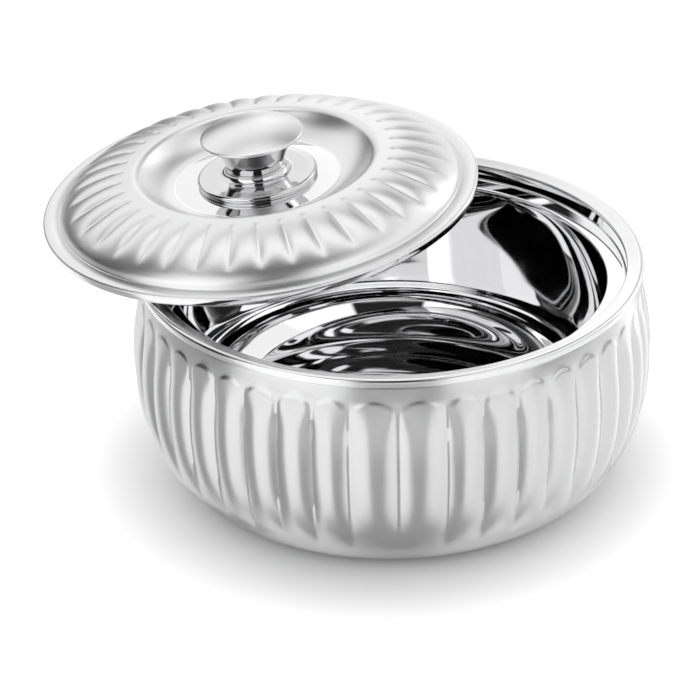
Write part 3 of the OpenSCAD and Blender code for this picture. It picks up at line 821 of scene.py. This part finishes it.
def plain(name, dark, light, roughness, scale, depth):
    made, recipe = material(name)
    coordinates = recipe.node("ShaderNodeTexCoord", out=3)
    cells = recipe.noise(coordinates, scale, 3.0)
    tint = recipe.node("ShaderNodeMix", {"data_type": "RGBA"}, {"Factor": cells, "A": dark, "B": light}, out=2)
    bump = recipe.node("ShaderNodeBump", {}, {"Strength": 1.0, "Distance": 1.0, "Height": cells * depth})
    sockets = {"Base Color": tint, "Roughness": roughness, "Normal": bump}
    surface = recipe.node("ShaderNodeBsdfPrincipled", {}, sockets)
    recipe.node("ShaderNodeOutputMaterial", {}, {"Surface": surface})
    print(f"{name}: {len(made.node_tree.nodes)} nodes")
    return made


foam = plain("cream_foam", (0.66, 0.56, 0.34, 1), (0.86, 0.78, 0.56, 1), 0.9, 900.0, 0.3 * MM)
plastic = plain("grey_plastic", (0.05, 0.05, 0.052, 1), (0.075, 0.075, 0.08, 1), 0.45, 1800.0, 0.04 * MM)

# %% [markdown]
# ## Dress every part
#
# Each new skin rides on the body of the part that it stands for and hides that part. Parts that nothing
# covers keep the frame's own mesh and only get a material.

# %% Skins and their parts
SKINS = [
    (outer_shell, "bowl", "outer_shell", "satin_steel", shell_steel),
    (rim_ring, "bowl", "rim_ring", "satin_steel", ring_steel),
    (food_bowl, "bowl", "inner_bowl", "mirror_steel", bowl_steel),
    (lid_cover, "lid", "lid_cover", "satin_steel", cover_steel),
    (lid_liner, "lid", "lid_liner", "mirror_steel", liner_steel),
    (knob_base, "lid", "knob_base", "mirror_steel", knob_steel),
    (knob_waist, "lid", "knob_body", "mirror_steel", knob_steel),
    (knob_cap, "lid", "knob_cap", "satin_steel", cap_steel),
]
for piece, body, node, slot, finish in SKINS:
    piece.data.materials.append(finish)
    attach(piece, body)
    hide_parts(node)

KEPT = {
    "bowl_insulation": foam,
    "lid_insulation": foam,
    "base_fill_plug": plastic,
    "lid_fill_plug": plastic,
    "base_plate": hidden_steel,
    "knob_stud": hidden_steel,
    "knob_washer": hidden_steel,
    "knob_nut": hidden_steel,
}
for node, finish in KEPT.items():
    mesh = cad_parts[node].data
    mesh.materials.clear()
    mesh.materials.append(finish)
print(f"{len(SKINS)} skins, {len(KEPT)} parts of the frame kept")

# %% [markdown]
# ## Floor
#
# The object stands on a plain white floor, far wider than the camera sees, so that no edge of it shows. It
# is part of the stage and not of the object.

# %% Floor
FLOOR_SIZE = 6.0

bm = bmesh.new()
bmesh.ops.create_circle(bm, cap_ends=True, radius=FLOOR_SIZE, segments=96)
floor = object_of("floor", bm)
print(f"floor {2 * FLOOR_SIZE:.0f} m across")

# %% [markdown]
# ## The floor's white
#
# A floor that only reflects light would never look quite white to the camera, so for the camera it glows as
# well. The glow stands for light that comes evenly from the whole white room, so it is held back where the
# bowl closes off the room, by ambient occlusion. That keeps the soft shadow under the bowl. The steel sees
# another side of the floor: the sheen of a white acrylic sheet, which mirrors the studio's panels and gives
# the lower flutes a bright side and a dark side.

# %% Floor finish
PAINT, GLOW, SHEEN, SHEEN_ROUGH = 0.6, 0.8, 0.6, 0.2
SHADOW_REACH = 50 * MM

floor_white, recipe = material("floor_white")
floor.data.materials.append(floor_white)
camera_ray = recipe.node("ShaderNodeLightPath")
paint = recipe.node("ShaderNodeBsdfDiffuse", {}, {"Color": (PAINT, PAINT, PAINT, 1)})
openness = recipe.node("ShaderNodeAmbientOcclusion", {"samples": 16}, {"Distance": SHADOW_REACH}, out=1)
glow = recipe.node("ShaderNodeEmission", {}, {"Color": openness, "Strength": GLOW})
sheen = recipe.node("ShaderNodeBsdfGlossy", {}, {"Color": (SHEEN, SHEEN, SHEEN, 1), "Roughness": SHEEN_ROUGH})
for_camera = recipe.node("ShaderNodeAddShader", {}, {0: paint, 1: glow})
for_steel = recipe.node("ShaderNodeAddShader", {}, {0: paint, 1: sheen})
surface = recipe.node("ShaderNodeMixShader", {}, {0: camera_ray, 1: for_steel, 2: for_camera})
recipe.node("ShaderNodeOutputMaterial", {}, {"Surface": surface})
print(f"floor finish: {len(floor_white.node_tree.nodes)} nodes")

# %% [markdown]
# ## Studio panels
#
# Polished steel has no colour of its own: it shows the room. The room here is dark, with a white panel at
# the front on each side, one more along the right, light along the horizon and higher up behind on both
# sides, and a broad light on top. The dark gap between the front panels, where the camera stands, gives the
# black bar in the middle of the food bowl and of the knob. The gap is filled near the table, where only the
# outer shell sees it. Where the panels stand was found by following rays back from the photograph's
# mirror, and by comparing renders with it.

# %% Panels
# Each panel is a patch of the sky. In degrees: its middle direction, with 0 towards the camera and 90 to the
# right, half its width, and its lowest and highest elevation. Then its strength and how soft its edge is.
PANELS = [
    ("front right panel", 40, 20, 0, 55, 1.1, 1.5),
    ("side right panel", 100, 40, 4, 52, 0.95, 1.5),
    ("front left panel", -46, 27, 0, 55, 1.3, 1.5),
    ("table edge in front", 0, 15, -5, 20, 0.5, 4),
    ("horizon behind", 152, 34, -10, 20, 0.9, 6),
    ("backdrop", -150, 35, 15, 50, 1.05, 8),
    ("fill behind right", 150, 28, 20, 42, 0.7, 8),
    ("top light", 180, 110, 57, 95, 1.25, 11),
]
ROOM_LIGHT = 0.02
print("panels:", ", ".join(panel[0] for panel in PANELS))

# %% [markdown]
# ## World
#
# The panels are painted into the world's light, because a world costs no geometry and gives clean
# reflections. The direction of a ray gives an elevation and a way along the horizon, and each panel is
# bright where both lie inside it. The camera itself sees plain white instead, the photograph's background.

# %% World
world = bpy.data.worlds.new("studio")
bpy.context.scene.world = world
world.use_nodes = True
recipe = Recipe(world.node_tree)

direction = recipe.node("ShaderNodeTexCoord", out=0)
flat = recipe.node("ShaderNodeVectorMath", {"operation": "MULTIPLY"}, {0: direction, 1: (1, 1, 0)})
level = recipe.node("ShaderNodeVectorMath", {"operation": "NORMALIZE"}, {0: flat})
elevation = recipe.node("ShaderNodeSeparateXYZ", {}, {0: direction}, out=2).math("ARCSINE")
light = ROOM_LIGHT
for _, *angles, strength, soft in PANELS:
    middle, half, low, high, soft = (math.radians(v) for v in (*angles, soft))
    way = (math.sin(middle), -math.cos(middle), 0)
    off = recipe.node("ShaderNodeVectorMath", {"operation": "DOT_PRODUCT"}, {0: level, 1: way}, out=1)
    across = recipe.ramp(off.math("ARCCOSINE"), half - soft, half + soft, 1.0, 0.0)
    light = across * recipe.between(elevation, low, high, soft) * strength + light
room = recipe.node("ShaderNodeBackground", {}, {"Color": light, "Strength": 1.0})
white = recipe.node("ShaderNodeBackground", {}, {"Color": (1, 1, 1, 1), "Strength": 1.0})
camera_ray = recipe.node("ShaderNodeLightPath")
surface = recipe.node("ShaderNodeMixShader", {}, {0: camera_ray, 1: room, 2: white})
recipe.node("ShaderNodeOutputWorld", {}, {"Surface": surface})
print(f"world: {len(world.node_tree.nodes)} nodes")

# %% [markdown]
# ## Camera
#
# The photograph's viewpoint was worked out from the ellipses of the rim and the lid: the camera looks down
# at about 29 degrees from 1.3 m away through a long lens, and is tilted by a little over a degree.

# %% Camera
ELEVATION = math.radians(29.09)
ROLL = math.radians(-1.35)
DISTANCE = 1.3
TARGET = Vector((-20.3, 0, 60.1)) * MM
FOCAL_PIXELS, PHOTO_WIDTH = 2670, 700

forward = Vector((0, math.cos(ELEVATION), -math.sin(ELEVATION)))
right = Vector((1, 0, 0))
above = right.cross(forward)
rolled_right = math.cos(ROLL) * right + math.sin(ROLL) * above
rolled_above = math.cos(ROLL) * above - math.sin(ROLL) * right
lens = bpy.data.cameras.new("camera")
lens.sensor_width = 36
lens.lens = FOCAL_PIXELS / PHOTO_WIDTH * lens.sensor_width
camera = bpy.data.objects.new("camera", lens)
bpy.context.scene.collection.objects.link(camera)
axes = Matrix((rolled_right, rolled_above, -forward)).transposed()
camera.matrix_world = Matrix.Translation(TARGET - DISTANCE * forward) @ axes.to_4x4()
bpy.context.scene.camera = camera
bpy.context.scene.view_settings.view_transform = "Standard"
print(f"lens {lens.lens:.1f} mm at {DISTANCE} m")

# %% [markdown]
